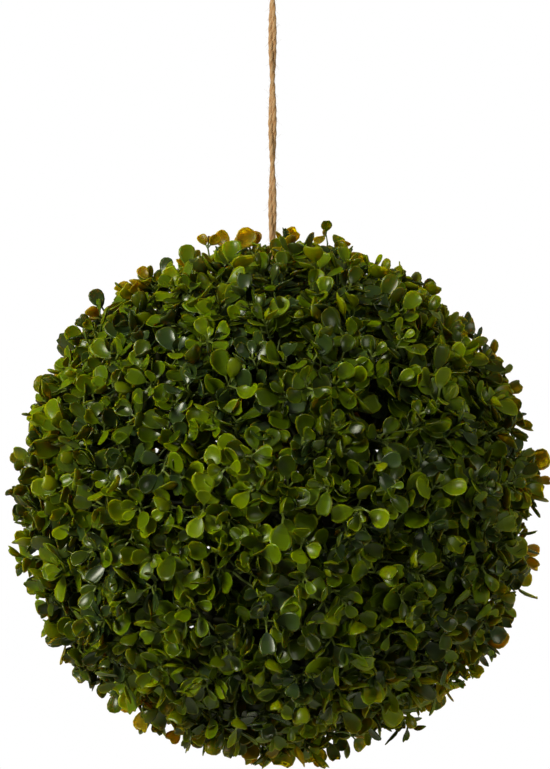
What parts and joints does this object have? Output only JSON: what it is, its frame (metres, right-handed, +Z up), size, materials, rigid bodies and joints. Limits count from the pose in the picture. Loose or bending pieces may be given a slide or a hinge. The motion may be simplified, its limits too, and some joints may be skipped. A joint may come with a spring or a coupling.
{
  "type": "artificial hanging box topiary ball",
  "caption": "Round ball of plastic box foliage on a hollow lattice, hung on a twisted pair of jute twine with an eye.",
  "frame": {"origin": "where a hook bears, on the underside of the top of the twine's eye", "axes": "+Z up along the twine, away from the ball; +X along the width of the eye and the staple"},
  "size_m": [0.2792, 0.2786, 0.4316],
  "materials": {
    "foliage": "soft gloss moulded plastic leaves in several greens",
    "frame": "moulded, dark green",
    "twine": "natural jute, two-ply, hairy"
  },
  "bodies": {
    "root": {"frame_upper": "frame", "frame_lower": "frame", "mat_crown": "foliage", "mat_upper_1": "foliage", "mat_upper_2": "foliage", "mat_upper_3": "foliage", "mat_upper_4": "foliage", "mat_upper_5": "foliage", "mat_lower_1": "foliage", "mat_lower_2": "foliage", "mat_lower_3": "foliage", "mat_lower_4": "foliage", "mat_lower_5": "foliage", "mat_base": "foliage", "hanger_staple": "frame", "twine_knot": "twine", "twine_leg_back": "twine", "twine_leg_front": "twine", "twine_eye": "twine"}
  },
  "joints": []
}
